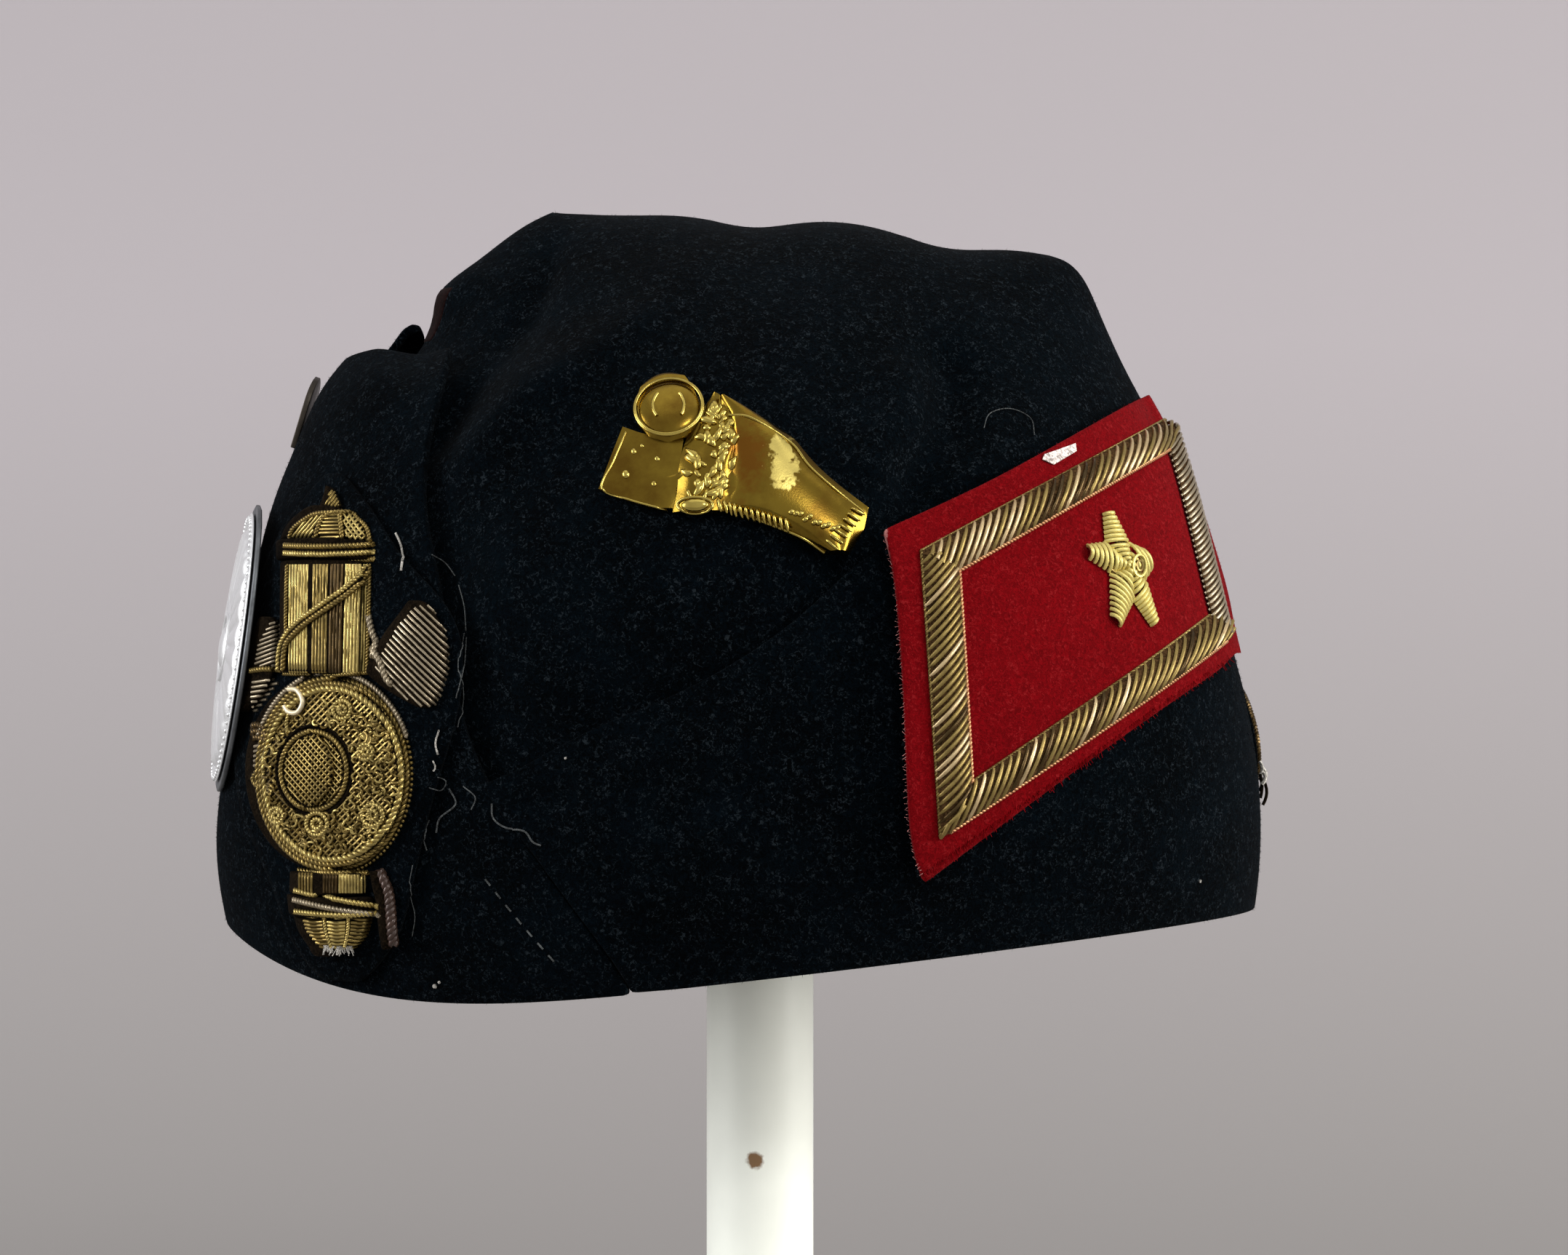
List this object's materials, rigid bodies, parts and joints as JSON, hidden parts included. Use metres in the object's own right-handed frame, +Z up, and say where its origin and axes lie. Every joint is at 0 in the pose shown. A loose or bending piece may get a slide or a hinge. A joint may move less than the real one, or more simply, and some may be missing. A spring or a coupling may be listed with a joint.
{
  "type": "garrison cap on a post stand",
  "caption": "Soft felt garrison cap with turned-up flaps, a bullion badge, a red braided patch and metal plates, on a plain round post stand.",
  "frame": {"origin": "centre of the stand base's underside", "axes": "+Z up along the post, cap's front towards -X, cap's left side towards -Y"},
  "size_m": [0.2195, 0.1514, 0.2788],
  "materials": {
    "black_felt": "black wool felt with a short nap",
    "red_felt": "crimson wool felt",
    "bullion": "tarnished gold bullion wire",
    "stamped_brass": "glossy stamped brass",
    "bright_silver": "bright embossed metal",
    "grey_metal": "dull grey sheet metal",
    "dark_bronze": "dark bronze sheet",
    "brown_binding": "dark brown woven edge",
    "brown_cord": "twisted brown cord",
    "white_paint": "satin white paint"
  },
  "bodies": {
    "root": {"crown": "black_felt", "crown_binding": "brown_binding", "front_flap": "black_felt", "ear_flap_left": "black_felt", "ear_flap_right": "black_felt", "badge_backing": "black_felt", "badge_finial": "bullion", "badge_dome": "bullion", "badge_top_rings": "bullion", "badge_column": "bullion", "badge_right_lobe": "bullion", "badge_left_lobe": "bullion", "badge_medallion": "bullion", "badge_boss": "bullion", "badge_neck": "bullion", "badge_low_rings": "bullion", "badge_bulb": "bullion", "badge_side_cord": "brown_cord", "brass_pin": "stamped_brass", "patch_felt": "red_felt", "patch_braid": "bullion", "patch_star": "bullion", "silver_plate_back": "grey_metal", "silver_plate": "bright_silver", "bronze_plate": "dark_bronze", "back_badge": "black_felt", "back_badge_braid": "bullion", "stand_base": "white_paint", "stand_post": "white_paint", "stand_top": "white_paint"}
  },
  "joints": []
}
